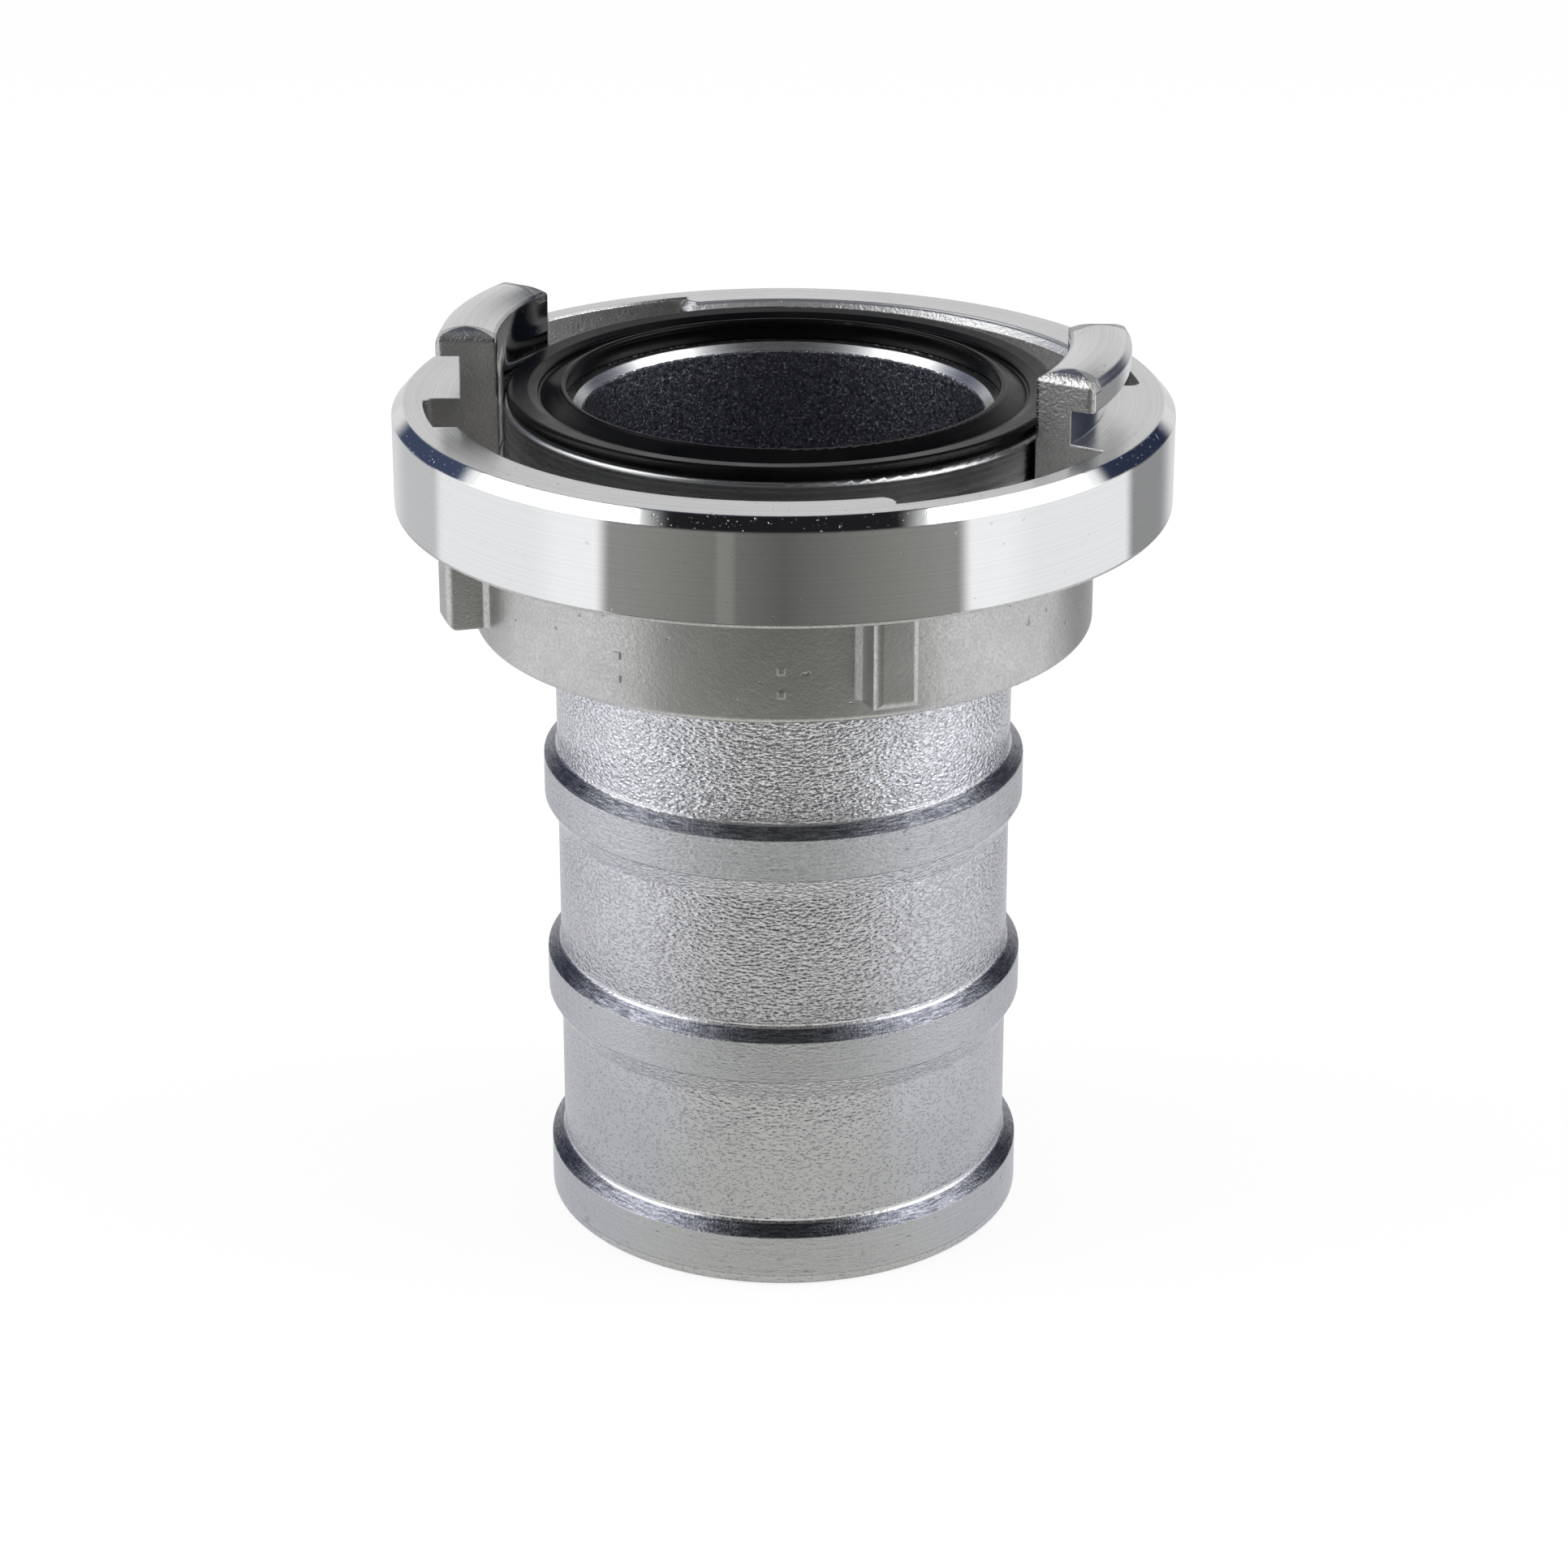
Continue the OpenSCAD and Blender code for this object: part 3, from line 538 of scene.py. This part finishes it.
def seal_material():
    s = Surface("seal_rubber")
    rings = s.lines(s.path, SEAL_RING_PITCH, detail=2.0)
    grain = s.noise(s.at, 3000)
    dust = s.spots(s.at, 1700, 0.68, 0.76, 3.0, 0.6)
    haze = s.noise(s.at, 70, 4.0, 0.6)
    color = s.mix(s.spread(haze), RUBBER_BLACK, RUBBER_BROWN)
    color = s.mix(s.mul(dust, 0.04), color, DUST)
    rough = s.add(0.29, s.spread(haze, -0.05, 0.08), s.spread(rings, -0.02, 0.02))
    height = s.add(s.mul(rings, 0.002 * MM), s.mul(grain, 0.003 * MM))
    return s.finish(color, rough, height, s.rounded(SMALL_ROUNDING), metallic=0.0, specular=0.13)


def wire_material():
    s = Surface("spring_steel")
    draw = s.noise(s.lathe(s.path, 9000, 3), 1.0, 2.0, 0.6)
    stain = s.noise(s.at, 300, 4.0, 0.6)
    color = s.mix(s.spread(draw), WIRE_DARK, WIRE_BRIGHT)
    color = s.mix(s.step(stain, 0.52, 0.72, 0.0, 0.6), color, WIRE_STAIN)
    rough = s.add(0.28, s.spread(stain, -0.05, 0.15))
    return s.finish(color, rough, s.mul(draw, 0.003 * MM), s.rounded(SMALL_ROUNDING))


def dress(node, material):
    data = nodes[node].data
    if not data.materials:
        data.materials.append(material)
    for i in range(len(data.materials)):
        data.materials[i] = material


# Studio: what the metal mirrors is seen by reflections alone, and angles count from the camera's side
FLOOR_HALF = 6
FLOOR_Z = -0.05 * MM
FLOOR_WHITE = (0.86, 0.86, 0.86, 1)
TABLE_FRONT_LIGHT, TABLE_SIDE_LIGHT = (1.0, 1.0, 0.93, 1), (0.965, 0.97, 1.0, 1)
TABLE_NEAR, TABLE_FAR = 0.12, 0.29
STRIP_TURN = (13.5, 17.0)
FRONT_TURN = (0, 44)
FRONT_TO_SIDE = (47, 52)
SIDE_TURN = (60, 74)
SIDE_TO_CORNER = (110, 116)
CORNER_TO_BACK = (134, 154)
WHITE = (1, 1, 1, 1)
ROOM_LOW, ROOM_MIDDLE, ROOM_HIGH = (0.13, 0.13, 0.132, 1), (0.055, 0.055, 0.056, 1), (0.013, 0.013, 0.015, 1)
CORNER_LEFT, CORNER_RIGHT = (0.050, 0.066, 0.120, 1), (0.024, 0.032, 0.062, 1)
WINDOW_WHITE = (0.98, 0.985, 1.0, 1)
WINDOW_TURN, WINDOW_TOP = (54, 114), (0.835, 0.875)
WALL_LOW, WALL_HIGH = (0.76, 0.76, 0.77, 1), (0.70, 0.70, 0.70, 1)
WALL_TURN, WALL_TOP = (143, 151), (0.40, 0.60)
CEILING_GREY = (0.22, 0.222, 0.23, 1)
CEILING_EDGE = (0.966, 0.984)
SOFTBOX_X, SOFTBOX_Y, SOFTBOX_Z = 0.90, -0.05, 0.90
SOFTBOX_SIDE = 0.8
SOFTBOX_POWER = 3.8
SOFTBOX_AIM_Z = 0.08


def seen(g):
    """Camera rays, and rays that only reflections and glass follow."""
    ray = g.node("ShaderNodeLightPath").outputs
    return ray["Is Camera Ray"], g.most(ray["Is Glossy Ray"], ray["Is Transmission Ray"])


def turn_from_front(g, x, y):
    """Degrees round the axis, 0 to the camera and 180 behind, the same on both sides."""
    return g.math("DEGREES", g.math("ARCTAN2", g.math("ABSOLUTE", x), g.mul(y, -1.0)))


def right_half(g, x):
    """One on the camera's right, nothing on its left."""
    return g.step(x, -0.05, 0.05)


def mirrored_table(g):
    """What metal reflects of the table: a dark front edge, bright sides, greyer corners behind."""
    x, y = g.split(g.node("ShaderNodeTexCoord").outputs["Object"])[:2]
    turn = turn_from_front(g, x, y)
    away = g.math("SQRT", g.add(g.mul(x, x), g.mul(y, y)))
    right = right_half(g, x)
    strip = g.mul(g.band(turn, *STRIP_TURN, 1.2), g.opposite(right))
    front = g.add(g.line(turn, *FRONT_TURN, 0.070, 0.25), g.mul(strip, 0.07))
    side = g.step(turn, *SIDE_TURN, 1.06, 0.95)
    corner = g.mixf(right, 0.58, 0.27)
    far = g.mixf(g.step(turn, *FRONT_TO_SIDE), front, side)
    far = g.mixf(g.step(turn, *SIDE_TO_CORNER), far, corner)
    far = g.mixf(g.step(turn, *CORNER_TO_BACK), far, 0.74)
    near = g.mixf(g.step(turn, 100, 125), g.step(turn, 0, 60, 0.80, 0.86), 0.80)
    level = g.mixf(g.step(away, TABLE_NEAR, TABLE_FAR), near, far)
    shade = g.mix(g.step(turn, 30, 60), TABLE_FRONT_LIGHT, TABLE_SIDE_LIGHT)
    return g.node("ShaderNodeEmission", {"Color": shade, "Strength": level}).outputs[0]


def make_floor():
    corners = [(x * FLOOR_HALF, y * FLOOR_HALF, FLOOR_Z) for x, y in ((-1, -1), (1, -1), (1, 1), (-1, 1))]
    mesh = bpy.data.meshes.new("floor")
    mesh.from_pydata(corners, [], [(0, 1, 2, 3)])
    floor = bpy.data.objects.new("floor", mesh)
    scene.collection.objects.link(floor)
    material = bpy.data.materials.new("floor")
    g = Graph(material)
    base = g.node("ShaderNodeBsdfDiffuse", {"Color": FLOOR_WHITE}).outputs[0]
    glow = g.node("ShaderNodeEmission", {"Color": WHITE, "Strength": 1.15}).outputs[0]
    camera_ray, gloss = seen(g)
    pale = g.node("ShaderNodeMixShader", {0: g.mul(camera_ray, 0.72), 1: base, 2: glow}).outputs[0]
    both = g.node("ShaderNodeMixShader", {0: g.mul(gloss, 0.92), 1: pale, 2: mirrored_table(g)}).outputs[0]
    g.node("ShaderNodeOutputMaterial", {0: both})
    floor.data.materials.append(material)


def mirrored_room(g):
    """A dark room in front and overhead, tall white windows at both sides, a pale wall behind."""
    x, y, z = g.split(g.node("ShaderNodeTexCoord").outputs["Generated"])
    turn = turn_from_front(g, x, y)
    right = right_half(g, x)
    front = g.mix(g.step(z, 0.30, 0.42), ROOM_LOW, ROOM_MIDDLE)
    front = g.mix(g.step(z, 0.45, 0.85), front, ROOM_HIGH)
    corner = g.mix(right, CORNER_LEFT, CORNER_RIGHT)
    room = g.mix(g.step(turn, 50, 112), front, corner)
    window = g.mul(g.band(turn, *WINDOW_TURN, 5), g.step(z, *WINDOW_TOP, 1.0, 0.0))
    room = g.mix(window, room, WINDOW_WHITE)
    wall = g.mul(g.step(turn, *WALL_TURN), g.step(z, *WALL_TOP, 1.0, 0.0))
    pale = g.mix(g.step(z, 0.10, 0.40), WALL_LOW, WALL_HIGH)
    room = g.mix(wall, room, pale)
    return g.mix(g.step(z, *CEILING_EDGE), room, CEILING_GREY)


def make_world():
    world = bpy.data.worlds.new("studio")
    scene.world = world
    g = Graph(world)
    camera_ray, gloss = seen(g)
    color = g.mix(gloss, WHITE, mirrored_room(g))
    level = g.mixf(g.most(camera_ray, gloss), 0.55, 1.0)
    sky = g.node("ShaderNodeBackground", {"Color": color, "Strength": level}).outputs[0]
    g.node("ShaderNodeOutputWorld", {0: sky})


def softbox(name, x):
    place = Vector((x, SOFTBOX_Y, SOFTBOX_Z))
    lamp = bpy.data.lights.new(name, "AREA")
    lamp.shape = "RECTANGLE"
    lamp.size = SOFTBOX_SIDE
    lamp.size_y = SOFTBOX_SIDE
    lamp.energy = SOFTBOX_POWER
    box = bpy.data.objects.new(name, lamp)
    scene.collection.objects.link(box)
    box.location = place
    box.rotation_mode = "QUATERNION"
    box.rotation_quaternion = (Vector((0, 0, SOFTBOX_AIM_Z)) - place).to_track_quat("-Z", "Y")


make_camera()
dress("lug_ring", ring_material())
dress("hose_tail", tail_material())
dress("face_seal", seal_material())
dress("retaining_ring", wire_material())
make_floor()
make_world()
softbox("softbox_left", -SOFTBOX_X)
softbox("softbox_right", SOFTBOX_X)
